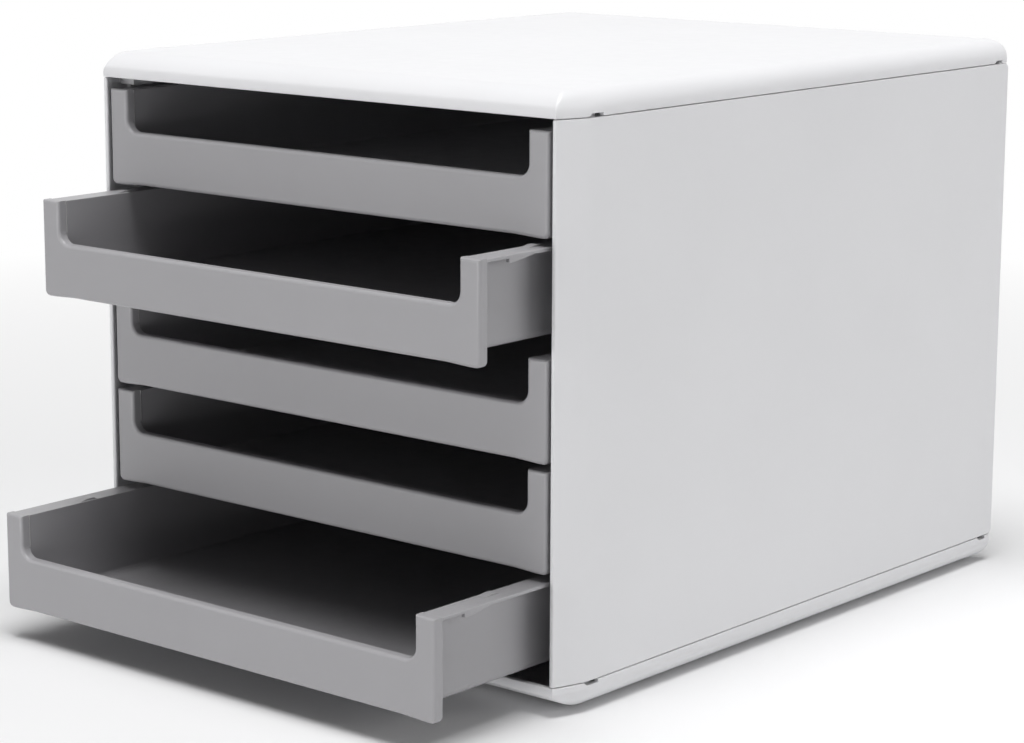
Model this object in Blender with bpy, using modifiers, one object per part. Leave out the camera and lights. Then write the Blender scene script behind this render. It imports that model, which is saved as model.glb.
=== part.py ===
"""Desktop file box: a shell of two covers, two side panels and a back, with five pull-out trays.

The box faces -Y, +X is its right-hand side as seen from the front, and it stands on z = 0.
Inside the frame empty, y = 0 is the front edge of the side panels.
"""

import math
from collections import namedtuple

import bmesh
import bpy
from mathutils import Matrix, Vector

Place = namedtuple("Place", "collection parent")
Seam = namedtuple("Seam", "level direction arc_start")

MM = 0.001

# Casing
CASING_WIDTH = 275.0 * MM
CASING_DEPTH = 339.0 * MM
FACET_RUN = 15.5 * MM
FACET_INSET = 5.2 * MM
PANEL_THICKNESS = 2.1 * MM
PANEL_EDGE_RADIUS = 0.8 * MM
PANEL_REAR_CHAMFER = 1.6 * MM
GAP = 0.3 * MM
OVERRUN = 1.0 * MM
WELD_SHARE = 0.003
ROUND_SHARE = 0.5

# Covers
COVER_HEIGHT = 11.5 * MM
COVER_WALL = 2.2 * MM
COVER_SIDE_LIP = 2.4 * MM
COVER_FRONT_LIP = 4.0 * MM
COVER_REAR_INSET = 1.9 * MM
COVER_REAR_RADIUS = 5.5 * MM
TOP_ARC_START = math.radians(62.0)
BASE_ARC_START = math.radians(36.0)
ARC_STEPS = 6

# Release slots in the covers, and the tongues of the side panels behind them
SLOT_FRONT = 14.7 * MM
SLOT_LENGTH = 9.2 * MM
SLOT_HEIGHT = 1.6 * MM
SLOT_SLANT = 2.0 * MM
REAR_SLOT_LENGTH = 7.2 * MM
SLOT_REAR_ROOM = 6.0 * MM
TONGUE_THICKNESS = 2.2 * MM
TONGUE_HEIGHT = 3.6 * MM
TONGUE_ROOT = 12.0 * MM
TONGUE_SHOULDER = 1.0 * MM
TONGUE_FRONT_ROOM = 2.1 * MM
TONGUE_REAR_ROOM = 0.8 * MM
REAR_TONGUE_ROOM = 3.8 * MM

# Back panel and the groove it stands in
BACK_THICKNESS = 2.0 * MM
BACK_COVER_ENTRY = 2.4 * MM
GROOVE_RIB_THICKNESS = 1.8 * MM
GROOVE_RIB_REACH = 2.0 * MM

# Feet
FOOT_RADIUS = 7.0 * MM
FOOT_HEIGHT = 1.5 * MM
FOOT_SIDE_INSET = 30.0 * MM
FOOT_END_INSET = 32.0 * MM
FOOT_SEGMENTS = 24

# Trays
TRAY_COUNT = 5
TOP_ROOM = 4.95 * MM
BOTTOM_ROOM = 0.7 * MM
FRONT_SET_BACK = 0.2 * MM
SECOND_TRAY_OPENING = 41.8 * MM
FIFTH_TRAY_OPENING = 68.4 * MM
FRONT_SIDE_ROOM = 1.7 * MM
FRONT_GAP = 2.95 * MM
FRONT_HEIGHT = 43.3 * MM
FRONT_THICKNESS = 4.8 * MM
FRONT_EDGE_ROUND = 1.6 * MM
FRONT_EDGE_STEPS = 2
SHARP_ANGLE = math.radians(50.0)
POST_WIDTH = 10.7 * MM
CUT_DEPTH = 19.0 * MM
CUT_CORNER_RADIUS = 5.6 * MM
FRONT_CORNER_RADIUS = 2.8 * MM
FRONT_CORNER_STEPS = 4
BELLY_RISE = 0.6 * MM
BELLY_END_ROOM = 6.0 * MM
BELLY_RAMP = 12.0 * MM
TRAY_REAR_ROOM = 3.6 * MM
SKIRT_HEIGHT = 4.7 * MM
TRAY_WALL = 2.0 * MM
LEDGE_WIDTH = 10.5 * MM
LEDGE_THICKNESS = 1.5 * MM
LEDGE_STEP = 0.2 * MM
LEDGE_SIDE_INSET = 0.3 * MM
TUB_ROOT = 0.2 * MM
LEDGE_ROOT = 0.3 * MM
POCKET_DEPTH = 0.5 * MM
TUB_CORNER_RADIUS = 3.6 * MM
TUB_BOTTOM_RADIUS = 3.4 * MM
TUB_STEPS = 3

# Lug under each ledge and bump on top of it
LUG_START = 18.4 * MM
LUG_FLAT = 4.4 * MM
LUG_RAMP = 11.3 * MM
LUG_DROP = 1.7 * MM
LUG_WIDTH = 2.0 * MM
BUMP_START = 35.3 * MM
BUMP_LENGTH = 10.9 * MM
BUMP_FRONT_RAMP = 5.4 * MM
BUMP_REAR_RAMP = 2.1 * MM
BUMP_RISE = 0.6 * MM
BUMP_WIDTH = 4.0 * MM
BUMP_INSET = 0.9 * MM

# Rails on the inner faces of the side panels
RAIL_THICKNESS = 3.0 * MM
RAIL_FRONT_ROOM = 7.0 * MM
RAIL_REACH = 9.9 * MM
RAIL_ROOT = 0.4 * MM
RUNNING_GAP = 0.4 * MM

# Colours, shown as linear light
SHELL_COLOUR = (0.66, 0.66, 0.67)
TRAY_COLOUR = (0.29, 0.285, 0.285)
FOOT_COLOUR = (0.05, 0.05, 0.05)
SHELL_ROUGHNESS = 0.45
TRAY_ROUGHNESS = 0.42
FOOT_ROUGHNESS = 0.85

# Levels and faces that follow from the sizes above
HALF_WIDTH = CASING_WIDTH / 2
HALF_FRONT_WIDTH = HALF_WIDTH - FACET_INSET
HALF_GAP = GAP / 2
BASE_BOTTOM = FOOT_HEIGHT + GAP
LOWER_SEAM = BASE_BOTTOM + COVER_HEIGHT
PITCH = FRONT_HEIGHT + FRONT_GAP
SIDE_HEIGHT = TOP_ROOM + (TRAY_COUNT - 1) * PITCH + FRONT_HEIGHT + BOTTOM_ROOM
UPPER_SEAM = LOWER_SEAM + SIDE_HEIGHT
FRAME_MIDDLE = (CASING_DEPTH + FRONT_SET_BACK - FIFTH_TRAY_OPENING) / 2
PANEL_INNER = HALF_WIDTH - PANEL_THICKNESS
PANEL_CORE = HALF_WIDTH - PANEL_THICKNESS / 2
RAIL_OUTER = PANEL_INNER + RAIL_ROOT
COVER_REAR = CASING_DEPTH - COVER_REAR_INSET
BACK_REAR = COVER_REAR - COVER_WALL - GAP
BACK_FRONT = BACK_REAR - BACK_THICKNESS
RAIL_END = BACK_FRONT - GAP
TONGUE_OUTER = HALF_WIDTH - COVER_WALL - RUNNING_GAP
TONGUE_INNER = TONGUE_OUTER - TONGUE_THICKNESS
TONGUE_LENGTH = SLOT_LENGTH - TONGUE_FRONT_ROOM - TONGUE_REAR_ROOM
FRONT_HALF = HALF_FRONT_WIDTH - PANEL_THICKNESS - FRONT_SIDE_ROOM
TRAY_LENGTH = BACK_FRONT - TRAY_REAR_ROOM - FRONT_SET_BACK
TRAY_HEIGHT = FRONT_HEIGHT - SKIRT_HEIGHT
CAVITY_HALF = FRONT_HALF - LEDGE_WIDTH
TUB_HALF = CAVITY_HALF + TRAY_WALL
LEDGE_HALF = FRONT_HALF - LEDGE_SIDE_INSET
LUG_END = LUG_START + LUG_FLAT + LUG_RAMP
RAIL_FRONT = FRONT_SET_BACK + FRONT_THICKNESS + RAIL_FRONT_ROOM
TOP_SEAM = Seam(UPPER_SEAM, 1, TOP_ARC_START)
BASE_SEAM = Seam(LOWER_SEAM, -1, BASE_ARC_START)


def clear_scene():
    for old in list(bpy.data.objects):
        bpy.data.objects.remove(old, do_unlink=True)


def make_collection(name):
    made = bpy.data.collections.new(name)
    bpy.context.scene.collection.children.link(made)
    return made


def make_material(name, colour, roughness):
    made = bpy.data.materials.new(name)
    made.use_nodes = True
    shader = made.node_tree.nodes["Principled BSDF"]
    shader.inputs["Base Color"].default_value = (*colour, 1)
    shader.inputs["Roughness"].default_value = roughness
    shader.inputs["Metallic"].default_value = 0
    return made


def add_object(name, mesh, place):
    made = bpy.data.objects.new(name, mesh)
    place.collection.objects.link(made)
    made.parent = place.parent
    return made


def hide_cutter(cutter):
    cutter.hide_render = True
    cutter.display_type = "WIRE"


def rounded(corners, steps=ARC_STEPS):
    """Turns corners (u, v, radius) into an outline whose corners are arcs."""
    outline = []
    count = len(corners)
    for index, (u, v, radius) in enumerate(corners):
        here = Vector((u, v))
        if radius <= 0:
            outline.append(here)
            continue
        before = (Vector(corners[index - 1][:2]) - here).normalized()
        after = (Vector(corners[(index + 1) % count][:2]) - here).normalized()
        half_angle = before.angle(after) / 2
        reach = radius / math.tan(half_angle)
        centre = here + (before + after).normalized() * (radius / math.sin(half_angle))
        start = here + before * reach - centre
        sweep = start.angle_signed(here + after * reach - centre)
        for step in range(steps + 1):
            turned = Matrix.Rotation(-sweep * step / steps, 2) @ start
            outline.append(centre + turned)
    return [(point[0], point[1]) for point in outline]


def axis_matrix(axis):
    """Sends the outline's u, v and thickness to the box's own axes."""
    if axis == "X":
        return Matrix(((0, 0, 1, 0), (1, 0, 0, 0), (0, 1, 0, 0), (0, 0, 0, 1)))
    if axis == "Y":
        return Matrix(((1, 0, 0, 0), (0, 0, -1, 0), (0, 1, 0, 0), (0, 0, 0, 1)))
    return Matrix.Identity(4)


def axis_shift(axis, distance):
    direction = {"X": (1, 0, 0), "Y": (0, 1, 0), "Z": (0, 0, 1)}[axis]
    return Matrix.Translation(Vector(direction) * distance)


def curve_solid(outlines, thickness):
    """Fills flat outlines and gives them thickness, as one mesh."""
    curve = bpy.data.curves.new("outline", "CURVE")
    curve.dimensions = "2D"
    curve.fill_mode = "BOTH"
    curve.extrude = thickness / 2
    for outline in outlines:
        spline = curve.splines.new("POLY")
        spline.points.add(len(outline) - 1)
        for point, (u, v) in zip(spline.points, outline):
            point.co = (u, v, 0, 1)
        spline.use_cyclic_u = True
    holder = bpy.data.objects.new("outline", curve)
    mesh = bpy.data.meshes.new_from_object(holder)
    bpy.data.objects.remove(holder, do_unlink=True)
    return mesh


def close_mesh(mesh):
    shape = bmesh.new()
    shape.from_mesh(mesh)
    bmesh.ops.remove_doubles(shape, verts=shape.verts, dist=GAP * WELD_SHARE)
    bmesh.ops.recalc_face_normals(shape, faces=shape.faces)
    shape.to_mesh(mesh)
    shape.free()


def prism(name, outlines, low, high, axis, place):
    """Extrudes outlines along an axis: (x, y) along Z, (y, z) along X, (x, z) along Y."""
    mesh = curve_solid(outlines, high - low)
    mesh.transform(axis_shift(axis, (low + high) / 2) @ axis_matrix(axis))
    close_mesh(mesh)
    return add_object(name, mesh, place)


def block(name, low, high, place):
    """A box between two opposite corners."""
    low, high = Vector(low), Vector(high)
    shape = bmesh.new()
    bmesh.ops.create_cube(shape, size=1)
    size = Matrix.Diagonal((*(high - low), 1))
    bmesh.ops.transform(shape, matrix=Matrix.Translation((low + high) / 2) @ size, verts=shape.verts)
    mesh = bpy.data.meshes.new(name)
    shape.to_mesh(mesh)
    shape.free()
    return add_object(name, mesh, place)


def edges_where(shape, test):
    return [edge for edge in shape.edges if all(test(vert.co) for vert in edge.verts)]


def tub(name, low, high, corner_radius, bottom_radius, place):
    """A box with round upright edges and a round bottom edge."""
    made = block(name, low, high, place)
    shape = bmesh.new()
    shape.from_mesh(made.data)
    upright = [edge for edge in shape.edges if abs(edge.verts[0].co.z - edge.verts[1].co.z) > corner_radius]
    bmesh.ops.bevel(
        shape, geom=upright, offset=corner_radius, segments=TUB_STEPS, profile=ROUND_SHARE, affect="EDGES"
    )
    floor = min(vert.co.z for vert in shape.verts)
    bottom = edges_where(shape, lambda co: co.z < floor + bottom_radius)
    bmesh.ops.bevel(
        shape, geom=bottom, offset=bottom_radius, segments=TUB_STEPS, profile=ROUND_SHARE, affect="EDGES"
    )
    shape.to_mesh(made.data)
    shape.free()
    return made


def combine(target, tool, operation):
    step = target.modifiers.new(tool.name, "BOOLEAN")
    step.object = tool
    step.operation = operation
    step.solver = "EXACT"
    hide_cutter(tool)


def cut(target, tool):
    combine(target, tool, "DIFFERENCE")


def join(target, tool):
    combine(target, tool, "UNION")


def keep(target, tool):
    combine(target, tool, "INTERSECT")


def mirror_across(tool):
    step = tool.modifiers.new("other_side", "MIRROR")
    step.use_axis = (True, False, False)
    return tool


def side_profile(inset, bottom):
    """The covers' cross-section over x, with the seam at 0 and the crown up."""
    half = HALF_WIDTH - inset
    crown = COVER_HEIGHT - inset
    radius = crown - COVER_SIDE_LIP
    return rounded([(-half, bottom, 0), (half, bottom, 0), (half, crown, radius), (-half, crown, radius)])


def front_arc(inset, arc_start):
    """A cover's bent front, from the lip up to the flat crown."""
    rise = COVER_HEIGHT - COVER_FRONT_LIP
    radius = rise / (1 - math.cos(arc_start))
    run = radius * math.sin(arc_start)
    inner = radius - inset
    start = math.asin((run - inset) / inner)
    points = []
    for step in range(ARC_STEPS + 1):
        angle = start * (1 - step / ARC_STEPS)
        points.append((run - inner * math.sin(angle), COVER_HEIGHT - radius + inner * math.cos(angle)))
    return points


def depth_profile(inset, bottom, arc_start):
    """A cover's cross-section over y, from the front lip to the rear round."""
    rear = COVER_REAR - inset
    crown = COVER_HEIGHT - inset
    corners = [(y, z, 0) for y, z in front_arc(inset, arc_start)]
    corners += [(rear, crown, COVER_REAR_RADIUS - inset), (rear, bottom, 0), (inset, bottom, 0)]
    return rounded(corners)


def facet_direction():
    return Vector((FACET_INSET, FACET_RUN, 0)).normalized()


def facet_profile(inset, bottom):
    """The round that follows the slanted front corner; u counts inwards from the corner's face."""
    crown = COVER_HEIGHT - inset
    radius = crown - COVER_SIDE_LIP
    far = CASING_WIDTH + CASING_DEPTH
    return rounded([(inset, bottom, 0), (inset, crown, radius), (far, crown, 0), (far, bottom, 0)])


def facet_keeper(name, inset, bottom, place):
    """A long solid whose outer face is the slanted corner of the cover's right side."""
    far = CASING_WIDTH + CASING_DEPTH
    mesh = curve_solid([facet_profile(inset, bottom)], far + far)
    along = facet_direction()
    inwards = Vector((-along.y, along.x, 0))
    corner = Vector((HALF_FRONT_WIDTH, 0, 0))
    turn = Matrix.Identity(4)
    for row in range(3):
        turn[row][0] = inwards[row]
        turn[row][1] = Vector((0, 0, 1))[row]
        turn[row][2] = along[row]
        turn[row][3] = corner[row]
    mesh.transform(turn)
    close_mesh(mesh)
    return add_object(name, mesh, place)


def flip_side(tool):
    """Mirrors a tool to the left-hand side of the box."""
    tool.data.transform(Matrix.Diagonal((-1, 1, 1, 1)))
    tool.data.flip_normals()
    return tool


def set_on_seam(tool, seam):
    """Moves a shape drawn with its seam at 0 onto a seam; direction -1 turns it upside down."""
    tool.data.transform(Matrix.Translation((0, 0, seam.level)) @ Matrix.Diagonal((1, 1, seam.direction, 1)))
    if seam.direction < 0:
        tool.data.flip_normals()
    return tool


def pillow(name, inset, bottom, seam, place, tools):
    """The covers' rounded block: the common volume of its side, depth and corner profiles."""
    across = prism(name, [side_profile(inset, bottom)], -OVERRUN, CASING_DEPTH, "Y", place)
    over_y = depth_profile(inset, bottom, seam.arc_start)
    depth = prism(name + "_depth", [over_y], -HALF_WIDTH, HALF_WIDTH, "X", tools)
    right = facet_keeper(name + "_corner_right", inset, bottom, tools)
    left = flip_side(facet_keeper(name + "_corner_left", inset, bottom, tools))
    for shape in (across, depth, right, left):
        set_on_seam(shape, seam)
    for shape in (depth, right, left):
        keep(across, shape)
    return across


def slot_outline(front, length):
    """A release slot seen from the side, with its slanted front end."""
    return [
        (front, -OVERRUN),
        (front + length, -OVERRUN),
        (front + length, SLOT_HEIGHT),
        (front + SLOT_SLANT, SLOT_HEIGHT),
        (front, 0),
    ]


def rear_slot_front():
    return CASING_DEPTH - SLOT_REAR_ROOM - REAR_SLOT_LENGTH


def slots(name, seam, tools):
    """The four release slots of one cover, as one cutter on both sides."""
    outlines = [slot_outline(SLOT_FRONT, SLOT_LENGTH), slot_outline(rear_slot_front(), REAR_SLOT_LENGTH)]
    made = prism(name, outlines, TONGUE_INNER, HALF_WIDTH + OVERRUN, "X", tools)
    set_on_seam(made, seam)
    return mirror_across(made)


def cover(name, seam, material, parts, tools):
    """A hollow cover, open towards the seam."""
    shell = pillow(name, 0, HALF_GAP, seam, parts, tools)
    hollow = pillow(name + "_hollow", COVER_WALL, -OVERRUN, seam, tools, tools)
    cut(shell, hollow)
    cut(shell, slots(name + "_slots", seam, tools))
    shell.data.materials.append(material)
    return shell


def panel_outline():
    """The right side panel in plan, with its front part bent inwards."""
    along = facet_direction()
    inwards = Vector((-along.y, along.x, 0))
    inner_front = Vector((HALF_FRONT_WIDTH, 0, 0)) + inwards * PANEL_THICKNESS
    inner_front -= along * (inner_front.y / along.y)
    bend = FACET_RUN + PANEL_THICKNESS * math.tan(math.asin(along.x) / 2)
    return rounded([
        (HALF_FRONT_WIDTH, 0, PANEL_EDGE_RADIUS),
        (HALF_WIDTH, FACET_RUN, 0),
        (HALF_WIDTH, CASING_DEPTH, 0),
        (PANEL_INNER, CASING_DEPTH, 0),
        (PANEL_INNER, bend, 0),
        (inner_front.x, 0, PANEL_EDGE_RADIUS),
    ], FRONT_EDGE_STEPS)


def panel_elevation():
    """The side panel seen from the side, with its two rear corners clipped."""
    low = LOWER_SEAM + HALF_GAP
    high = UPPER_SEAM - HALF_GAP
    rear = CASING_DEPTH
    clip = PANEL_REAR_CHAMFER
    return [
        (-OVERRUN, low),
        (rear - clip, low),
        (rear, low + clip),
        (rear, high - clip),
        (rear - clip, high),
        (-OVERRUN, high),
    ]


def tray_top(number):
    return UPPER_SEAM - TOP_ROOM - (number - 1) * PITCH


def rectangle(left, right, low, high):
    return [(left, low), (right, low), (right, high), (left, high)]


def upper_rail_outlines():
    """Rails that lie over the ledges, seen from the front."""
    left = PANEL_INNER - RAIL_REACH
    outlines = []
    for number in range(1, TRAY_COUNT + 1):
        low = tray_top(number) + BUMP_RISE + GAP
        outlines.append(rectangle(left, RAIL_OUTER, low, low + RAIL_THICKNESS))
    return outlines


def lower_rail_outlines():
    """Rails that carry the ledges, seen from the front."""
    left = TUB_HALF + RUNNING_GAP
    outlines = []
    for number in range(1, TRAY_COUNT + 1):
        high = tray_top(number) - LEDGE_STEP - LEDGE_THICKNESS - GAP
        outlines.append(rectangle(left, RAIL_OUTER, high - RAIL_THICKNESS, high))
    return outlines


def tongue_outline(seam):
    """A tongue that stands up inside the cover, behind the slot; its shoulder stays inside the panel."""
    root = seam.level - seam.direction * TONGUE_ROOT
    shoulder = seam.level - seam.direction * TONGUE_SHOULDER
    tip = seam.level + seam.direction * TONGUE_HEIGHT
    return [
        (TONGUE_INNER, root),
        (PANEL_CORE, root),
        (PANEL_CORE, shoulder),
        (TONGUE_OUTER, shoulder),
        (TONGUE_OUTER, tip),
        (TONGUE_INNER, tip),
    ]


def upper_rails(name, tools):
    return prism(name, upper_rail_outlines(), RAIL_FRONT, RAIL_END, "Y", tools)


def lower_rails(name, tools):
    front = FRONT_SET_BACK + LUG_END + GAP
    return prism(name, lower_rail_outlines(), front, RAIL_END, "Y", tools)


def groove_rib(name, tools):
    """The upright rib behind the back panel's edge."""
    front = BACK_REAR + GAP
    low = (PANEL_INNER - GROOVE_RIB_REACH, front, LOWER_SEAM + HALF_GAP)
    high = (PANEL_CORE, front + GROOVE_RIB_THICKNESS, UPPER_SEAM - HALF_GAP)
    return block(name, low, high, tools)


def tongues(name, front, rear, tools):
    outlines = [tongue_outline(TOP_SEAM), tongue_outline(BASE_SEAM)]
    return prism(name, outlines, front, rear, "Y", tools)


def side_panel(name, side, material, parts, tools):
    """A side panel with its rails, tongues and groove rib; side is 1 for right, -1 for left."""
    low = LOWER_SEAM + HALF_GAP
    high = UPPER_SEAM - HALF_GAP
    panel = prism(name, [panel_outline()], low, high, "Z", parts)
    elevation = prism(name + "_sides", [panel_elevation()], 0, CASING_WIDTH, "X", tools)
    over = upper_rails(name + "_over", tools)
    under = lower_rails(name + "_under", tools)
    rib = groove_rib(name + "_rib", tools)
    front_start = SLOT_FRONT + TONGUE_FRONT_ROOM
    front_tongues = tongues(name + "_tongues_front", front_start, front_start + TONGUE_LENGTH, tools)
    rear_start = rear_slot_front() + REAR_TONGUE_ROOM
    rear_tongues = tongues(name + "_tongues_rear", rear_start, RAIL_END, tools)
    if side < 0:
        for shape in (panel, elevation, over, under, rib, front_tongues, rear_tongues):
            flip_side(shape)
    keep(panel, elevation)
    for shape in (over, under, rib, front_tongues, rear_tongues):
        join(panel, shape)
    panel.data.materials.append(material)
    return panel


def back_panel(name, material, parts):
    half = PANEL_INNER - GAP
    low = (-half, BACK_FRONT, LOWER_SEAM - BACK_COVER_ENTRY)
    high = (half, BACK_REAR, UPPER_SEAM + BACK_COVER_ENTRY)
    panel = block(name, low, high, parts)
    panel.data.materials.append(material)
    return panel


def foot(name, side, y, material, parts):
    shape = bmesh.new()
    bmesh.ops.create_cone(
        shape, cap_ends=True, segments=FOOT_SEGMENTS,
        radius1=FOOT_RADIUS, radius2=FOOT_RADIUS, depth=FOOT_HEIGHT,
    )
    mesh = bpy.data.meshes.new(name)
    shape.to_mesh(mesh)
    shape.free()
    mesh.shade_smooth()
    mesh.set_sharp_from_angle(angle=SHARP_ANGLE)
    made = add_object(name, mesh, parts)
    made.location = (side * (HALF_WIDTH - FOOT_SIDE_INSET), y, FOOT_HEIGHT / 2)
    made.data.materials.append(material)
    return made


def front_outline():
    """A tray's front: two posts, a low middle and a slightly raised lower edge."""
    half = FRONT_HALF
    inner = half - POST_WIDTH
    low = -FRONT_HEIGHT
    belly = low + BELLY_RISE
    belly_end = half - BELLY_END_ROOM
    belly_start = belly_end - BELLY_RAMP
    return rounded([
        (-half, 0, 0),
        (-half, low, FRONT_CORNER_RADIUS),
        (-belly_end, low, 0),
        (-belly_start, belly, 0),
        (belly_start, belly, 0),
        (belly_end, low, 0),
        (half, low, FRONT_CORNER_RADIUS),
        (half, 0, 0),
        (inner, 0, 0),
        (inner, -CUT_DEPTH, CUT_CORNER_RADIUS),
        (-inner, -CUT_DEPTH, CUT_CORNER_RADIUS),
        (-inner, 0, 0),
    ], FRONT_CORNER_STEPS)


def soften_front(plate):
    """Joins a tray's front face into one flat face, and rounds the edges around it."""
    shape = bmesh.new()
    shape.from_mesh(plate.data)
    face = FRONT_THICKNESS / 2
    front_edges = edges_where(shape, lambda co: co.y < face)
    rim = [edge for edge in front_edges if edge.calc_face_angle(0) > SHARP_ANGLE]
    flat = [edge for edge in front_edges if edge.calc_face_angle(0) <= SHARP_ANGLE]
    bmesh.ops.dissolve_edges(shape, edges=flat)
    bmesh.ops.bevel(
        shape, geom=rim, offset=FRONT_EDGE_ROUND, segments=FRONT_EDGE_STEPS,
        profile=ROUND_SHARE, affect="EDGES",
    )
    shape.to_mesh(plate.data)
    shape.free()


def lug_outline():
    """The wedge under a ledge: steep in front, ramped behind."""
    top = -LEDGE_STEP - LEDGE_THICKNESS / 2
    under = -LEDGE_STEP - LEDGE_THICKNESS
    return [
        (LUG_START, top),
        (LUG_START, under - LUG_DROP),
        (LUG_START + LUG_FLAT, under - LUG_DROP),
        (LUG_END, under),
        (LUG_END, top),
    ]


def bump_outline():
    """The low bump on top of a ledge."""
    base = -LEDGE_STEP - LEDGE_THICKNESS / 2
    end = BUMP_START + BUMP_LENGTH
    return [
        (BUMP_START, base),
        (end, base),
        (end, -LEDGE_STEP),
        (end - BUMP_REAR_RAMP, BUMP_RISE),
        (BUMP_START + BUMP_FRONT_RAMP, BUMP_RISE),
        (BUMP_START, -LEDGE_STEP),
    ]


def tray_ledges(name, tools):
    low = (-LEDGE_HALF, FRONT_THICKNESS - LEDGE_ROOT, -LEDGE_STEP - LEDGE_THICKNESS)
    high = (LEDGE_HALF, TRAY_LENGTH - TUB_CORNER_RADIUS, -LEDGE_STEP)
    return block(name, low, high, tools)


def tray_body(name, tools):
    """The tray's outer tub; it runs up into the ledges and forward into the front."""
    low = (-TUB_HALF, FRONT_THICKNESS - TUB_ROOT, -TRAY_HEIGHT)
    high = (TUB_HALF, TRAY_LENGTH, -LEDGE_STEP - LEDGE_THICKNESS / 2)
    return tub(name, low, high, TUB_CORNER_RADIUS, TUB_BOTTOM_RADIUS, tools)


def tray_hollow(name, tools):
    low = (-CAVITY_HALF, FRONT_THICKNESS - POCKET_DEPTH, TRAY_WALL - TRAY_HEIGHT)
    high = (CAVITY_HALF, TRAY_LENGTH - TRAY_WALL, OVERRUN)
    return tub(name, low, high, TUB_CORNER_RADIUS - TRAY_WALL, TUB_BOTTOM_RADIUS - TRAY_WALL, tools)


def tray(number, opening, material, shown, hidden, frame):
    """A tray, modelled with its front face at y = 0 and its top at z = 0, then slid into place."""
    name = "drawer_%d" % number
    slide = add_object(name + "_slide", None, Place(shown, frame))
    slide.location = (0, FRONT_SET_BACK - opening, tray_top(number))
    parts = Place(shown, slide)
    tools = Place(hidden, slide)
    made = prism(name, [front_outline()], 0, FRONT_THICKNESS, "Y", parts)
    soften_front(made)
    lug = prism(name + "_lug", [lug_outline()], LEDGE_HALF - LUG_WIDTH, LEDGE_HALF, "X", tools)
    bump_inner = CAVITY_HALF + BUMP_INSET
    bump = prism(name + "_bump", [bump_outline()], bump_inner, bump_inner + BUMP_WIDTH, "X", tools)
    join(made, tray_body(name + "_body", tools))
    join(made, tray_ledges(name + "_ledges", tools))
    cut(made, tray_hollow(name + "_hollow", tools))
    join(made, mirror_across(lug))
    join(made, mirror_across(bump))
    made.data.materials.append(material)
    return made


def build():
    clear_scene()
    shown = make_collection("desktop_file_drawer")
    hidden = make_collection("cutters")
    shell = make_material("shell_plastic", SHELL_COLOUR, SHELL_ROUGHNESS)
    grey = make_material("tray_plastic", TRAY_COLOUR, TRAY_ROUGHNESS)
    rubber = make_material("foot_rubber", FOOT_COLOUR, FOOT_ROUGHNESS)
    frame = add_object("box_frame", None, Place(shown, None))
    frame.location = (0, -FRAME_MIDDLE, 0)
    parts = Place(shown, frame)
    tools = Place(hidden, frame)
    cover("top_cover", TOP_SEAM, shell, parts, tools)
    cover("base_cover", BASE_SEAM, shell, parts, tools)
    side_panel("side_panel_right", 1, shell, parts, tools)
    side_panel("side_panel_left", -1, shell, parts, tools)
    back_panel("back_panel", shell, parts)
    front_row = FOOT_END_INSET
    rear_row = CASING_DEPTH - FOOT_END_INSET
    foot("foot_front_left", -1, front_row, rubber, parts)
    foot("foot_front_right", 1, front_row, rubber, parts)
    foot("foot_rear_left", -1, rear_row, rubber, parts)
    foot("foot_rear_right", 1, rear_row, rubber, parts)
    openings = {2: SECOND_TRAY_OPENING, 5: FIFTH_TRAY_OPENING}
    for number in range(1, TRAY_COUNT + 1):
        tray(number, openings.get(number, 0), grey, shown, hidden, frame)


build()
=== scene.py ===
"""Looks for the desktop file drawer: finer pieces in place of the solids, materials, light and camera."""

import math

import bmesh
import bpy
from mathutils import Matrix, Vector


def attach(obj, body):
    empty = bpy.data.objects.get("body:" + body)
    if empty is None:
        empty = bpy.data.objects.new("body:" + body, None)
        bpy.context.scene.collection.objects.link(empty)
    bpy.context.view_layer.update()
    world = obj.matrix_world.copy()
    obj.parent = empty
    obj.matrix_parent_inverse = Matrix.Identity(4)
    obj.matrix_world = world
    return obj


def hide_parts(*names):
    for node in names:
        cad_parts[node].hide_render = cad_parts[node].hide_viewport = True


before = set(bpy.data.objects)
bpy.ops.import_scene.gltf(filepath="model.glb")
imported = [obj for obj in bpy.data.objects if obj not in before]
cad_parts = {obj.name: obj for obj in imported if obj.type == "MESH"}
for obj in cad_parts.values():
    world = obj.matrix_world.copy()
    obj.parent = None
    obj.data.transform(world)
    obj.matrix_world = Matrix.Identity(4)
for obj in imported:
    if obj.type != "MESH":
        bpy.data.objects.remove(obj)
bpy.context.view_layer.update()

MM = 0.001
WELD = 0.000002
FLAT_ANGLE = math.radians(0.1)
SHARP_ANGLE = math.radians(42.0)
NORMAL_WEIGHT = 60

# Casing, the same sizes as the solids
HALF_WIDTH = 137.5 * MM
HALF_FRONT_WIDTH = 132.3 * MM
CASING_DEPTH = 339.0 * MM
FACET_RUN = 15.5 * MM
FACET_SOFTNESS = 1.6 * MM
PANEL_THICKNESS = 2.1 * MM
PANEL_EDGE_RADIUS = 0.8 * MM
PANEL_EDGE_STEPS = 5
PANEL_REAR_CHAMFER = 1.6 * MM
BEND_START = 0.45
BEND_STEP = 0.07
BEND_STATIONS = 17
INNER_BEND_LAG = 0.06
GAP = 0.3 * MM
HALF_GAP = GAP / 2
OVERRUN = 1.0 * MM
COVER_HEIGHT = 11.5 * MM
COVER_WALL = 2.2 * MM
COVER_SIDE_LIP = 2.4 * MM
COVER_FRONT_LIP = 4.0 * MM
COVER_REAR = 337.1 * MM
REAR_RADIUS = 5.5 * MM
SIDE_RADIUS = COVER_HEIGHT - COVER_SIDE_LIP
TOP_ARC = math.radians(62.0)
BASE_ARC = math.radians(36.0)
RIDGE_SHARPNESS = 8.0
ROUND_STEPS = 14
CROWN_ROWS = (1.5, 3.0, 4.5, 6.0, 9.0, 14.0, 30.0, 80.0, 160.0)
CROWN_MARGIN = 6.0 * MM
SLOT_FRONT = 14.7 * MM
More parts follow.
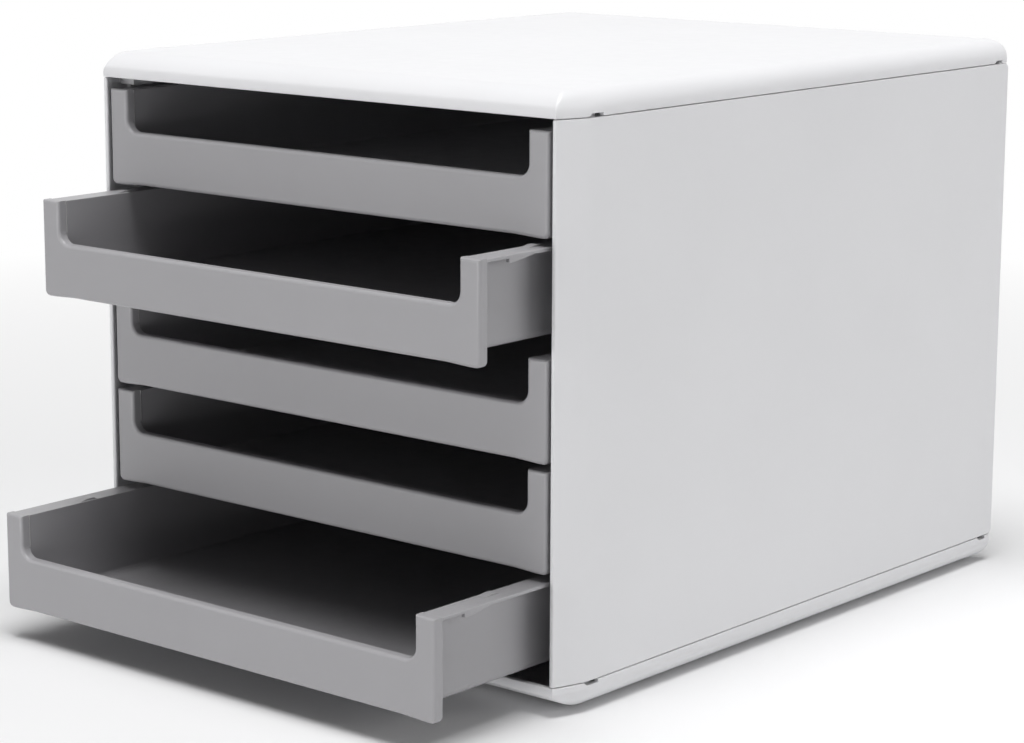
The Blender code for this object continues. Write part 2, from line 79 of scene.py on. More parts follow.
SLOT_LENGTH = 9.2 * MM
SLOT_HEIGHT = 1.6 * MM
SLOT_SLANT = 2.0 * MM
REAR_SLOT_LENGTH = 7.2 * MM
REAR_SLOT_FRONT = 325.8 * MM
TONGUE_THICKNESS = 2.2 * MM
TONGUE_HEIGHT = 3.6 * MM
TONGUE_ROOT = 12.0 * MM
TONGUE_SHOULDER = 1.0 * MM
TONGUE_NOSE = 1.8 * MM
TONGUE_RELIEF = 1.3 * MM
TONGUE_FRONT_ROOM = 2.1 * MM
TONGUE_FRONT_LENGTH = 6.3 * MM
REAR_TONGUE_START = 329.6 * MM
BACK_THICKNESS = 2.0 * MM
BACK_COVER_ENTRY = 2.4 * MM
GROOVE_RIB_THICKNESS = 1.8 * MM
GROOVE_RIB_REACH = 2.0 * MM
FOOT_RADIUS = 7.0 * MM
FOOT_HEIGHT = 1.5 * MM
FOOT_ROUND = 0.5 * MM
FOOT_ROUND_STEPS = 6
FOOT_CHAMFER = 0.1 * MM
FOOT_DISH_RADIUS = 0.62 * FOOT_RADIUS
FOOT_DISH_FLOOR = 0.55 * FOOT_RADIUS
FOOT_DISH_EDGE = 0.25 * MM
FOOT_DISH_DEPTH = 0.3 * MM
FOOT_SEGMENTS = 64
FOOT_SHARP_ANGLE = math.radians(40.0)
FOOT_SIDE = 107.5 * MM
FOOT_END_INSET = 32.0 * MM

# Trays
TRAY_COUNT = 5
PITCH = 46.25 * MM
TOP_ROOM = 4.95 * MM
FRONT_SET_BACK = 0.2 * MM
OPENINGS = {1: 0.0, 2: 41.8 * MM, 3: 0.0, 4: 0.0, 5: 68.4 * MM}
FRONT_HALF = 128.5 * MM
FRONT_HEIGHT = 43.3 * MM
FRONT_THICKNESS = 4.8 * MM
FRONT_EDGE_ROUND = 1.6 * MM
FRONT_EDGE_STEPS = 6
POST_WIDTH = 10.7 * MM
CUT_DEPTH = 19.0 * MM
CUT_CORNER_RADIUS = 5.6 * MM
FRONT_CORNER_RADIUS = 2.8 * MM
FRONT_CORNER_STEPS = 10
BELLY_RISE = 0.6 * MM
BELLY_END_ROOM = 6.0 * MM
BELLY_RAMP = 12.0 * MM
TRAY_LENGTH = 328.8 * MM
TRAY_HEIGHT = 38.6 * MM
TRAY_WALL = 2.0 * MM
LEDGE_WIDTH = 10.5 * MM
LEDGE_THICKNESS = 1.5 * MM
LEDGE_STEP = 0.2 * MM
LEDGE_SIDE_INSET = 0.3 * MM
TUB_ROOT = 0.2 * MM
LEDGE_ROOT = 0.3 * MM
POCKET_DEPTH = 0.5 * MM
TUB_CORNER_RADIUS = 3.6 * MM
TUB_BOTTOM_RADIUS = 3.4 * MM
TUB_STEPS = 8
LUG_START = 18.4 * MM
LUG_FLAT = 4.4 * MM
LUG_RAMP = 11.3 * MM
LUG_DROP = 1.7 * MM
LUG_WIDTH = 2.0 * MM
BUMP_START = 35.3 * MM
BUMP_LENGTH = 10.9 * MM
BUMP_FRONT_RAMP = 5.4 * MM
BUMP_REAR_RAMP = 2.1 * MM
BUMP_RISE = 0.6 * MM
BUMP_WIDTH = 4.0 * MM
BUMP_INSET = 0.9 * MM
RAIL_THICKNESS = 3.0 * MM
RAIL_FRONT = 12.0 * MM
RAIL_REACH = 9.9 * MM
RAIL_ROOT = 0.4 * MM
RUNNING_GAP = 0.4 * MM

# Broken edges
EDGE_BREAK = 0.35 * MM
EDGE_STEPS = 3
BUMP_EDGE_BREAK = 0.2 * MM
BUMP_EDGE_STEPS = 2
SEAM_BREAK = 0.5 * MM
CORNER_ROOM = 0.8 * MM

# Levels and faces that follow from them
LOWER_SEAM = FOOT_HEIGHT + GAP + COVER_HEIGHT
UPPER_SEAM = 247.25 * MM
FRAME_MIDDLE = 135.4 * MM
PANEL_INNER = HALF_WIDTH - PANEL_THICKNESS
PANEL_CORE = HALF_WIDTH - PANEL_THICKNESS / 2
BACK_REAR = COVER_REAR - COVER_WALL - GAP
BACK_FRONT = BACK_REAR - BACK_THICKNESS
RAIL_END = BACK_FRONT - GAP
TONGUE_OUTER = HALF_WIDTH - COVER_WALL - RUNNING_GAP
TONGUE_INNER = TONGUE_OUTER - TONGUE_THICKNESS
CAVITY_HALF = FRONT_HALF - LEDGE_WIDTH
TUB_HALF = CAVITY_HALF + TRAY_WALL
LEDGE_HALF = FRONT_HALF - LEDGE_SIDE_INSET
LUG_END = LUG_START + LUG_FLAT + LUG_RAMP
RAIL_OUTER = PANEL_INNER + RAIL_ROOT

# Looks: a tone, its darker shade and the tone of rubbed edges
CASING_TONES = ((0.75, 0.75, 0.765), (0.735, 0.735, 0.75), (0.80, 0.80, 0.81))
TRAY_TONES = ((0.342, 0.337, 0.35), (0.327, 0.322, 0.335), (0.47, 0.465, 0.46))
RUBBER_TONES = ((0.03, 0.03, 0.03), (0.09, 0.088, 0.085))
FLOOR_TONE = (0.84, 0.84, 0.845)
WHITE = (1.0, 1.0, 1.0)
CASING_ROUGHNESS = 0.42
CASING_GRAIN = 0.12
TRAY_ROUGHNESS = 0.40
TRAY_GRAIN = 0.20
PLASTIC_IOR = 1.5
SLOW_SCALE = 14.0
CLOUD_SCALE = 120.0
STREAK_SCALE = 900.0
STREAK_STRETCH = 0.035
GRAIN_SCALE = 2300.0
GRAIN_DEPTH = 0.04 * MM
BROAD_DEPTH = 0.2 * MM
BROAD_STRENGTH = 0.10
WORN_RADIUS = 0.6 * MM
WORN_SAMPLES = 6
GLOSS_SPREAD = 0.05
STREAK_GLOSS = -0.06
WORN_GLOSS = 0.12
RUBBER_GRAIN_SCALE = 1500.0
RUBBER_DUST_SCALE = 260.0
RUBBER_GRAIN = 0.4
RUBBER_DEPTH = 0.08 * MM

# Studio, in metres and watts
FLOOR_RADIUS = 14.0
FLOOR_SEGMENTS = 96
FLOOR_ROUGHNESS = 0.9
FLOOR_GLOSS = 0.1
FLOOR_OWN_LOOK = 0.32
FLOOR_ALL_WHITE = 1.1
WORLD_STRENGTH = 0.09
LAMPS = (
    # name, place, aim, width, height, power
    ("overhead", (0.25, -0.35, 3.2), (0, 0, 0.1), 1.8, 1.8, 103.0),
    ("low_front", (-0.25, -1.9, 0.09), (0, -0.1, 0.09), 1.5, 0.16, 11.0),
    ("side", (2.1, 0.7, 0.75), (0.1, 0, 0.1), 1.6, 1.0, 13.0),
)
CAMERA_PLACE = (0.83396, -0.99747, 0.37053)
CAMERA_AROUND = math.radians(40.426)
CAMERA_ABOVE = math.radians(11.393)
CAMERA_ROLL = math.radians(0.1337)
CAMERA_LENS = 99.428
CAMERA_SENSOR = 36.0
CAMERA_SHIFT = (0.0193, -0.00112)
CAMERA_NEAR = 0.05


# Shapes

def link(name, mesh):
    made = bpy.data.objects.new(name, mesh)
    bpy.context.scene.collection.objects.link(made)
    return made


def rounded(corners, steps):
    """Turns corners (u, v, radius) into an outline whose corners are arcs."""
    outline = []
    count = len(corners)
    for index, (u, v, radius) in enumerate(corners):
        here = Vector((u, v))
        if radius <= 0:
            outline.append(here)
            continue
        before = (Vector(corners[index - 1][:2]) - here).normalized()
        after = (Vector(corners[(index + 1) % count][:2]) - here).normalized()
        half_angle = before.angle(after) / 2
        reach = radius / math.tan(half_angle)
        centre = here + (before + after).normalized() * (radius / math.sin(half_angle))
        start = here + before * reach - centre
        sweep = start.angle_signed(here + after * reach - centre)
        for step in range(steps + 1):
            outline.append(centre + Matrix.Rotation(-sweep * step / steps, 2) @ start)
    return [(point[0], point[1]) for point in outline]


def prism(name, outlines, low, high, axis):
    """Extrudes outlines along an axis: (x, y) along Z, (y, z) along X, (x, z) along Y."""
    curve = bpy.data.curves.new(name, "CURVE")
    curve.dimensions = "2D"
    curve.fill_mode = "BOTH"
    curve.extrude = (high - low) / 2
    for outline in outlines:
        spline = curve.splines.new("POLY")
        spline.points.add(len(outline) - 1)
        for point, (u, v) in zip(spline.points, outline):
            point.co = (u, v, 0, 1)
        spline.use_cyclic_u = True
    holder = bpy.data.objects.new(name, curve)
    mesh = bpy.data.meshes.new_from_object(holder)
    bpy.data.objects.remove(holder, do_unlink=True)
    bpy.data.curves.remove(curve)
    turns = {
        "X": Matrix(((0, 0, 1, 0), (1, 0, 0, 0), (0, 1, 0, 0), (0, 0, 0, 1))),
        "Y": Matrix(((1, 0, 0, 0), (0, 0, -1, 0), (0, 1, 0, 0), (0, 0, 0, 1))),
        "Z": Matrix.Identity(4),
    }
    middle = Vector({"X": (1, 0, 0), "Y": (0, 1, 0), "Z": (0, 0, 1)}[axis]) * (low + high) / 2
    mesh.transform(Matrix.Translation(middle) @ turns[axis])
    tidy(mesh)
    return link(name, mesh)


def tidy(mesh, join=True):
    """Welds a mesh, turns its faces outwards and can join what is flat into one face."""
    shape = bmesh.new()
    shape.from_mesh(mesh)
    bmesh.ops.remove_doubles(shape, verts=shape.verts, dist=WELD)
    if join:
        bmesh.ops.dissolve_limit(shape, angle_limit=FLAT_ANGLE, verts=shape.verts, edges=shape.edges)
    bmesh.ops.recalc_face_normals(shape, faces=shape.faces)
    shape.to_mesh(mesh)
    shape.free()


def block(name, low, high):
    """A box between its low and its high corner."""
    shape = bmesh.new()
    bmesh.ops.create_cube(shape, size=1)
    low, high = Vector(low), Vector(high)
    size = Matrix.Diagonal((*(high - low), 1))
    bmesh.ops.transform(shape, matrix=Matrix.Translation((low + high) / 2) @ size, verts=shape.verts)
    mesh = bpy.data.meshes.new(name)
    shape.to_mesh(mesh)
    shape.free()
    return link(name, mesh)


def bevel_edges(shape, edges, width, segments):
    bmesh.ops.bevel(shape, geom=edges, offset=width, segments=segments, profile=0.5, affect="EDGES")


def soften(made, width, test, steps=EDGE_STEPS):
    """Rounds the sharp edges whose two ends pass a test."""
    shape = bmesh.new()
    shape.from_mesh(made.data)
    chosen = [
        edge for edge in shape.edges
        if all(test(vert.co) for vert in edge.verts) and edge.calc_face_angle(0) > SHARP_ANGLE
    ]
    bevel_edges(shape, chosen, width, steps)
    shape.to_mesh(made.data)
    shape.free()
    return made


def everywhere(co):
    return True


def tub(name, low, high, corner_radius, bottom_radius):
    """A box with round upright edges and a round bottom edge."""
    made = block(name, low, high)
    shape = bmesh.new()
    shape.from_mesh(made.data)
    upright = [edge for edge in shape.edges if abs(edge.verts[0].co.z - edge.verts[1].co.z) > corner_radius]
    bevel_edges(shape, upright, corner_radius, TUB_STEPS)
    floor = min(vert.co.z for vert in shape.verts)
    bottom = [edge for edge in shape.edges if all(vert.co.z < floor + bottom_radius for vert in edge.verts)]
    bevel_edges(shape, bottom, bottom_radius, TUB_STEPS)
    shape.to_mesh(made.data)
    shape.free()
    return made


def combine(target, tool, operation):
    """Adds, cuts or keeps what a tool covers, and removes the tool."""
    step = target.modifiers.new(tool.name, "BOOLEAN")
    step.object = tool
    step.operation = operation
    step.solver = "EXACT"
    bake(target)
    bpy.data.objects.remove(tool, do_unlink=True)


def bake(made):
    """Puts an object's modifiers into its mesh."""
    bpy.context.view_layer.update()
    evaluated = made.evaluated_get(bpy.context.evaluated_depsgraph_get())
    mesh = bpy.data.meshes.new_from_object(evaluated)
    made.modifiers.clear()
    made.data = mesh


def flip_side(tool):
    """Turns a right-hand piece into a left-hand one."""
    tool.data.transform(Matrix.Diagonal((-1, 1, 1, 1)))
    tool.data.flip_normals()


def mirror_across(tool):
    """Adds the same form on the other side of the middle."""
    step = tool.modifiers.new("other_side", "MIRROR")
    step.use_axis = (True, False, False)
    bake(tool)
    return tool


def smooth(made):
    """Shades an object smooth over its rounds, and leaves its flat faces flat."""
    made.data.shade_smooth()
    made.data.set_sharp_from_angle(angle=SHARP_ANGLE)
    step = made.modifiers.new("normals", "WEIGHTED_NORMAL")
    step.keep_sharp = True
    step.weight = NORMAL_WEIGHT


def dress(made, material, node, body):
    """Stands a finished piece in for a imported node."""
    made.data.materials.clear()
    made.data.materials.append(material)
    for face in made.data.polygons:
        face.material_index = 0
    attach(made, body)
    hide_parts(node)


# Covers

def edge_drop(distance, radius):
    """How far a rounded edge lies under the crown, at a distance inside that edge."""
    if distance >= radius:
        return 0.0
    return radius - math.sqrt(max(0.0, radius ** 2 - (radius - distance) ** 2))


def front_radius(arc, inset):
    """The radius of the front's arc, which falls from the crown to the front lip."""
    return (COVER_HEIGHT - COVER_FRONT_LIP) / (1 - math.cos(arc)) - inset


def front_drop(distance, arc, inset):
    """How far the front's arc lies under the crown, at a distance behind the front."""
    radius = front_radius(arc, inset)
    run = radius * math.sin(arc)
    if distance >= run:
        return 0.0
    return radius - math.sqrt(radius ** 2 - (run - distance) ** 2)


def half_width_at(y):
    """The casing's half width, with the slanted front corner bent in softly."""
    slope = (HALF_WIDTH - HALF_FRONT_WIDTH) / FACET_RUN
    bend = FACET_SOFTNESS * math.log(1 + math.exp((FACET_RUN - y) / FACET_SOFTNESS))
    full = FACET_SOFTNESS * math.log(1 + math.exp(FACET_RUN / FACET_SOFTNESS))
    return HALF_WIDTH - slope * bend * FACET_RUN / full


def cover_height(distance, y, arc, inset):
    """The crown's height less the drops of all edges; two that meet form a soft ridge."""
    slope = (HALF_WIDTH - HALF_FRONT_WIDTH) / FACET_RUN
    share = min(1.0, max(0.0, (half_width_at(y) - HALF_FRONT_WIDTH) / (HALF_WIDTH - HALF_FRONT_WIDTH)))
    squeeze = math.cos(math.atan(slope) * (1 - share))
    drops = [
        edge_drop(distance * squeeze, SIDE_RADIUS - inset),
        front_drop(y - inset, arc, inset),
        edge_drop(COVER_REAR - inset - y, REAR_RADIUS - inset),
    ]
    most = max(drops)
    if most <= 0:
        return COVER_HEIGHT - inset
    total = sum((drop / most) ** RIDGE_SHARPNESS for drop in drops)
    return COVER_HEIGHT - inset - most * total ** (1 / RIDGE_SHARPNESS)


def round_stations(radius):
    """Distances inside an edge that divide its quarter round evenly."""
    return [radius * (1 - math.cos(math.pi / 2 * step / ROUND_STEPS)) for step in range(ROUND_STEPS + 1)]


def near_corner(co):
    """Whether a point of the rim crowds one of the cover's four corners in plan."""
    corners = [(HALF_FRONT_WIDTH, 0.0), (HALF_WIDTH, COVER_REAR)]
    return any(math.hypot(abs(co.x) - x, co.y - y) < CORNER_ROOM for x, y in corners)


def cover_rows(arc, inset):
    """Places along the depth, closer together over the rounds at the front and rear."""
    run = front_radius(arc, inset) * math.sin(arc)
    rows = [inset + run * step / ROUND_STEPS for step in range(ROUND_STEPS + 1)]
    rows += [inset + run + row * MM for row in CROWN_ROWS]
    rear = round_stations(REAR_RADIUS - inset) + [REAR_RADIUS + CROWN_MARGIN]
    return rows + [COVER_REAR - inset - distance for distance in reversed(rear)]


def cover_block(name, arc, inset, low):
    """A solid under a cover's crown, drawn in by an inset and closed below at a low level."""
    side = round_stations(SIDE_RADIUS - inset) + [SIDE_RADIUS + CROWN_MARGIN, HALF_FRONT_WIDTH / 2]
    columns = [(distance, 1) for distance in side] + [(None, 0)]
    columns += [(distance, -1) for distance in reversed(side)]
    shape = bmesh.new()
    grid = []
    for y in cover_rows(arc, inset):
        half = half_width_at(y) - inset
        line = []
        for distance, sign in columns:
            x = 0.0 if sign == 0 else sign * (half - distance)
            inside = half if sign == 0 else distance
            line.append(shape.verts.new((x, y, cover_height(inside, y, arc, inset))))
        grid.append(line)
    for line, following in zip(grid, grid[1:]):
        for column in range(len(columns) - 1):
            shape.faces.new([line[column], line[column + 1], following[column + 1], following[column]])
    rim = [edge for edge in shape.edges if edge.is_boundary]
    made = bmesh.ops.extrude_edge_only(shape, edges=rim)
    lower = [part for part in made["geom"] if isinstance(part, bmesh.types.BMVert)]
    for vert in lower:
        vert.co.z = low
    bmesh.ops.contextual_create(shape, geom=[edge for edge in shape.edges if edge.is_boundary])
    mesh = bpy.data.meshes.new(name)
    shape.to_mesh(mesh)
    shape.free()
    tidy(mesh, join=False)
    return link(name, mesh)


def slot_outline(front, length):
    """A release slot, open to the seam and slanted at its front end."""
    return [
        (front, -OVERRUN), (front + length, -OVERRUN), (front + length, SLOT_HEIGHT),
        (front + SLOT_SLANT, SLOT_HEIGHT), (front, 0),
    ]


def cover(name, arc, seam, direction):
    """A cover with its slots, its rim on a seam and its crown up (1) or down (-1)."""
    made = cover_block(name, arc, 0.0, HALF_GAP)
    soften(made, SEAM_BREAK, lambda co: co.z < HALF_GAP + WELD and not near_corner(co))
    combine(made, cover_block(name + "_hollow", arc, COVER_WALL, -OVERRUN), "DIFFERENCE")
    outlines = [slot_outline(SLOT_FRONT, SLOT_LENGTH), slot_outline(REAR_SLOT_FRONT, REAR_SLOT_LENGTH)]
    slots = mirror_across(prism(name + "_slots", outlines, TONGUE_INNER, HALF_WIDTH + OVERRUN, "X"))
    combine(made, slots, "DIFFERENCE")
    made.data.transform(Matrix.Diagonal((1, 1, direction, 1)))
    if direction < 0:
        made.data.flip_normals()
    made.data.transform(Matrix.Translation((0, 0, seam)))
    smooth(made)
    return made


# Side panels, back and feet

def panel_outline():
    """The right side panel in plan, with its front part bent inwards."""
    stations = [FACET_RUN * (BEND_START + BEND_STEP * step) for step in range(BEND_STATIONS)]
    outer = [(half_width_at(y), y) for y in stations]
    along = Vector((HALF_WIDTH - HALF_FRONT_WIDTH, FACET_RUN)).normalized()
    normal = Vector((-along.y, along.x))
    inner_front = Vector((HALF_FRONT_WIDTH, 0)) + normal * PANEL_THICKNESS
    inner_front -= along * (inner_front.y / along.y)
    inner = [
        (x - PANEL_THICKNESS, y + INNER_BEND_LAG * PANEL_THICKNESS * (HALF_WIDTH - x) / MM)
        for x, y in reversed(outer)
    ]
    corners = [(HALF_FRONT_WIDTH, 0, PANEL_EDGE_RADIUS)]
    corners += [(x, y, 0) for x, y in outer]
    corners += [(HALF_WIDTH, CASING_DEPTH, 0), (PANEL_INNER, CASING_DEPTH, 0)]
    corners += [(x, y, 0) for x, y in inner]
    corners += [(inner_front.x, 0, PANEL_EDGE_RADIUS)]
    return rounded(corners, PANEL_EDGE_STEPS)


def panel_elevation():
    """A side panel seen from the side, with its rear corners clipped."""
    low, high = LOWER_SEAM + HALF_GAP, UPPER_SEAM - HALF_GAP
    clip = PANEL_REAR_CHAMFER
    return [
        (-OVERRUN, low), (CASING_DEPTH - clip, low), (CASING_DEPTH, low + clip),
        (CASING_DEPTH, high - clip), (CASING_DEPTH - clip, high), (-OVERRUN, high),
    ]


def tray_top(number):
    """The level of a tray's top, where 1 is the uppermost tray."""
    return UPPER_SEAM - TOP_ROOM - (number - 1) * PITCH


def rectangle(left, right, low, high):
    return [(left, low), (right, low), (right, high), (left, high)]


def rails(name):
    """The rails over and under the ledges of all trays."""
    upper, lower = [], []
    for number in range(1, TRAY_COUNT + 1):
        low = tray_top(number) + BUMP_RISE + GAP
        upper.append(rectangle(PANEL_INNER - RAIL_REACH, RAIL_OUTER, low, low + RAIL_THICKNESS))
        high = tray_top(number) - LEDGE_STEP - LEDGE_THICKNESS - GAP
        lower.append(rectangle(TUB_HALF + RUNNING_GAP, RAIL_OUTER, high - RAIL_THICKNESS, high))
    over = prism(name + "_over", upper, RAIL_FRONT, RAIL_END, "Y")
    under = prism(name + "_under", lower, FRONT_SET_BACK + LUG_END + GAP, RAIL_END, "Y")
    return over, under


def tongue_outline(seam, direction):
    """A snap tongue that crosses a seam, with its neck set back behind the release slot."""
    root = seam - direction * TONGUE_ROOT
    shoulder = seam - direction * TONGUE_SHOULDER
    nose = seam + direction * TONGUE_NOSE
    tip = seam + direction * TONGUE_HEIGHT
    neck = TONGUE_OUTER - TONGUE_RELIEF
    return [
        (TONGUE_INNER, root), (PANEL_CORE, root), (PANEL_CORE, shoulder), (neck, shoulder), (neck, nose),
        (TONGUE_OUTER, nose + direction * TONGUE_RELIEF / 2), (TONGUE_OUTER, tip), (TONGUE_INNER, tip),
    ]


def side_panel(name, side):
    """The right (1) or left (-1) side panel with its rails, tongues and the back panel's rib."""
    low, high = LOWER_SEAM + HALF_GAP, UPPER_SEAM - HALF_GAP
    panel = prism(name + "_plate", [panel_outline()], low, high, "Z")
    combine(panel, prism(name + "_sides", [panel_elevation()], 0, HALF_WIDTH * 2, "X"), "INTERSECT")
    tidy(panel.data)
    soften(panel, SEAM_BREAK, everywhere)
    rib_front = BACK_REAR + GAP
    rib = block(
        name + "_rib",
        (PANEL_INNER - GROOVE_RIB_REACH, rib_front, low + 2 * SEAM_BREAK),
        (PANEL_CORE, rib_front + GROOVE_RIB_THICKNESS, high - 2 * SEAM_BREAK),
    )
    tongues = [tongue_outline(UPPER_SEAM, 1), tongue_outline(LOWER_SEAM, -1)]
    start = SLOT_FRONT + TONGUE_FRONT_ROOM
    front_tongues = prism(name + "_tongue_front", tongues, start, start + TONGUE_FRONT_LENGTH, "Y")
    rear_tongues = prism(name + "_tongue_rear", tongues, REAR_TONGUE_START, RAIL_END, "Y")
    over, under = rails(name)
    for tool in (over, under):
        soften(tool, EDGE_BREAK, lambda co: co.y < CASING_DEPTH / 2)
    for tool in (over, under, rib, front_tongues, rear_tongues):
        combine(panel, tool, "UNION")
    if side < 0:
        flip_side(panel)
    smooth(panel)
    return panel


def back_panel(name):
    half = PANEL_INNER - GAP
    low, high = LOWER_SEAM - BACK_COVER_ENTRY, UPPER_SEAM + BACK_COVER_ENTRY
    made = block(name, (-half, BACK_FRONT, low), (half, BACK_REAR, high))
    soften(made, EDGE_BREAK, everywhere)
    smooth(made)
    return made


def foot(name, x, y):
    """A turned rubber disc with a rounded rim and a shallow dish underneath."""
    profile = [(0, FOOT_HEIGHT), (FOOT_RADIUS - FOOT_CHAMFER, FOOT_HEIGHT)]
    profile += [(FOOT_RADIUS, FOOT_HEIGHT - FOOT_CHAMFER)]
    for step in range(FOOT_ROUND_STEPS + 1):
        angle = math.pi / 2 * step / FOOT_ROUND_STEPS
        u = FOOT_RADIUS - FOOT_ROUND + FOOT_ROUND * math.cos(angle)
        profile.append((u, FOOT_ROUND - FOOT_ROUND * math.sin(angle)))
    profile += [(FOOT_DISH_RADIUS, 0), (FOOT_DISH_FLOOR, FOOT_DISH_EDGE), (0, FOOT_DISH_DEPTH)]
    shape = bmesh.new()
    verts = [shape.verts.new((u, 0, v)) for u, v in profile]
    edges = [shape.edges.new(pair) for pair in zip(verts, verts[1:])]
    bmesh.ops.spin(
        shape, geom=verts + edges, cent=(0, 0, 0), axis=(0, 0, 1), angle=math.tau,
        steps=FOOT_SEGMENTS, use_merge=True,
    )
    bmesh.ops.remove_doubles(shape, verts=shape.verts, dist=WELD)
    bmesh.ops.recalc_face_normals(shape, faces=shape.faces)
    mesh = bpy.data.meshes.new(name)
    shape.to_mesh(mesh)
    shape.free()
    made = link(name, mesh)
    made.location = (x, y, 0)
    mesh.shade_smooth()
    mesh.set_sharp_from_angle(angle=FOOT_SHARP_ANGLE)
    return made


# Trays

def front_outline():
    """A tray's front: two posts, a low middle and a slightly raised lower edge."""
    half = FRONT_HALF
    inner = half - POST_WIDTH
    low = -FRONT_HEIGHT
    belly_end = half - BELLY_END_ROOM
    belly_start = belly_end - BELLY_RAMP
    return rounded([
        (-half, 0, 0), (-half, low, FRONT_CORNER_RADIUS), (-belly_end, low, 0),
        (-belly_start, low + BELLY_RISE, 0), (belly_start, low + BELLY_RISE, 0), (belly_end, low, 0),
        (half, low, FRONT_CORNER_RADIUS), (half, 0, 0), (inner, 0, 0),
        (inner, -CUT_DEPTH, CUT_CORNER_RADIUS), (-inner, -CUT_DEPTH, CUT_CORNER_RADIUS), (-inner, 0, 0),
    ], FRONT_CORNER_STEPS)


def lug_outline():
    """The lug under a ledge, seen from the side: a step in front and a ramp behind."""
    top = -LEDGE_STEP - LEDGE_THICKNESS / 2
    under = -LEDGE_STEP - LEDGE_THICKNESS
    return [
        (LUG_START, top), (LUG_START, under - LUG_DROP), (LUG_START + LUG_FLAT, under - LUG_DROP),
        (LUG_END, under), (LUG_END, top),
    ]


def bump_outline():
    """The low bump on a ledge, seen from the side, with a ramp at both ends."""
    base = -LEDGE_STEP - LEDGE_THICKNESS / 2
    end = BUMP_START + BUMP_LENGTH
    return [
        (BUMP_START, base), (end, base), (end, -LEDGE_STEP),
        (end - BUMP_REAR_RAMP, BUMP_RISE), (BUMP_START + BUMP_FRONT_RAMP, BUMP_RISE),
        (BUMP_START, -LEDGE_STEP),
    ]


def on_mouth(co):
    """Whether a point lies on one of the mouth's two long edges."""
    return abs(co.z + LEDGE_STEP) < WELD and abs(abs(co.x) - CAVITY_HALF) < WELD


def tray_mesh():
    """A tray with its front face at y = 0 and its top at z = 0."""
    made = prism("tray_front", [front_outline()], 0, FRONT_THICKNESS, "Y")
    soften(made, FRONT_EDGE_ROUND, lambda co: co.y < FRONT_THICKNESS / 2, FRONT_EDGE_STEPS)
    soften(made, EDGE_BREAK, lambda co: co.y > FRONT_THICKNESS - WELD and abs(co.x) > CAVITY_HALF)
    body = tub(
        "tray_body", (-TUB_HALF, FRONT_THICKNESS - TUB_ROOT, -TRAY_HEIGHT),
        (TUB_HALF, TRAY_LENGTH, -LEDGE_STEP - LEDGE_THICKNESS / 2), TUB_CORNER_RADIUS, TUB_BOTTOM_RADIUS,
    )
    ledges = block(
        "tray_ledges", (-LEDGE_HALF, FRONT_THICKNESS - LEDGE_ROOT, -LEDGE_STEP - LEDGE_THICKNESS),
        (LEDGE_HALF, TRAY_LENGTH - TUB_CORNER_RADIUS, -LEDGE_STEP),
    )
    soften(ledges, EDGE_BREAK, lambda co: abs(co.x) > CAVITY_HALF)
    hollow = tub(
        "tray_hollow", (-CAVITY_HALF, FRONT_THICKNESS - POCKET_DEPTH, TRAY_WALL - TRAY_HEIGHT),
        (CAVITY_HALF, TRAY_LENGTH - TRAY_WALL, OVERRUN), TUB_CORNER_RADIUS - TRAY_WALL,
        TUB_BOTTOM_RADIUS - TRAY_WALL,
    )
    bump_inner = CAVITY_HALF + BUMP_INSET
    lug = prism("tray_lug", [lug_outline()], LEDGE_HALF - LUG_WIDTH, LEDGE_HALF, "X")
    bump = prism("tray_bump", [bump_outline()], bump_inner, bump_inner + BUMP_WIDTH, "X")
    lugs = mirror_across(soften(lug, EDGE_BREAK, everywhere))
    bumps = mirror_across(soften(bump, BUMP_EDGE_BREAK, everywhere, BUMP_EDGE_STEPS))
    combine(made, body, "UNION")
    combine(made, ledges, "UNION")
    combine(made, hollow, "DIFFERENCE")
    soften(made, EDGE_BREAK, on_mouth)
    combine(made, lugs, "UNION")
    combine(made, bumps, "UNION")
    smooth(made)
    bake(made)
    mesh = made.data
    bpy.data.objects.remove(made, do_unlink=True)
    return mesh


# Materials

def node_tools(owner):
    """The nodes and links of a material or a world, and a short way to add a node."""
    tree = owner.node_tree
    nodes, links = tree.nodes, tree.links

    def add(kind, **settings):
        made = nodes.new(kind)
        for key, value in settings.items():
            setattr(made, key, value)
        return made

    return nodes, links, add


def noise(add, links, coords, scale, detail, rough=0.5):
    made = add("ShaderNodeTexNoise")
    made.inputs["Scale"].default_value = scale
    made.inputs["Detail"].default_value = detail
    made.inputs["Roughness"].default_value = rough
    links.new(coords, made.inputs["Vector"])
    return made.outputs["Fac"]


def spread(add, links, value, low, high, to_low=0.0, to_high=1.0):
    """Carries one range of a value over to another."""
    made = add("ShaderNodeMapRange")
    made.inputs["From Min"].default_value = low
    made.inputs["From Max"].default_value = high
    made.inputs["To Min"].default_value = to_low
    made.inputs["To Max"].default_value = to_high
    links.new(value, made.inputs["Value"])
    return made.outputs["Result"]


def math_node(add, links, operation, *values):
    made = add("ShaderNodeMath", operation=operation)
    for socket, value in zip(made.inputs, values):
        if isinstance(value, (int, float)):
            socket.default_value = value
        else:
            links.new(value, socket)
    return made.outputs["Value"]


def mix_colour(add, links, factor, first, second):
    made = add("ShaderNodeMix", data_type="RGBA")
    sockets = {"Factor": factor, "A": first, "B": second}
    for name, value in sockets.items():
        socket = [s for s in made.inputs if s.name == name and s.enabled][0]
        if isinstance(value, tuple):
            socket.default_value = (*value, 1)
        elif isinstance(value, (int, float)):
            socket.default_value = value
        else:
            links.new(value, socket)
    return [s for s in made.outputs if s.name == "Result" and s.enabled][0]


def raised(add, links, height, strength, depth, under=None):
    """A bump over the surface, or over another bump."""
    bump = add("ShaderNodeBump")
    bump.inputs["Strength"].default_value = strength
    bump.inputs["Distance"].default_value = depth
    links.new(height, bump.inputs["Height"])
    if under:
        links.new(under, bump.inputs["Normal"])
    return bump.outputs["Normal"]


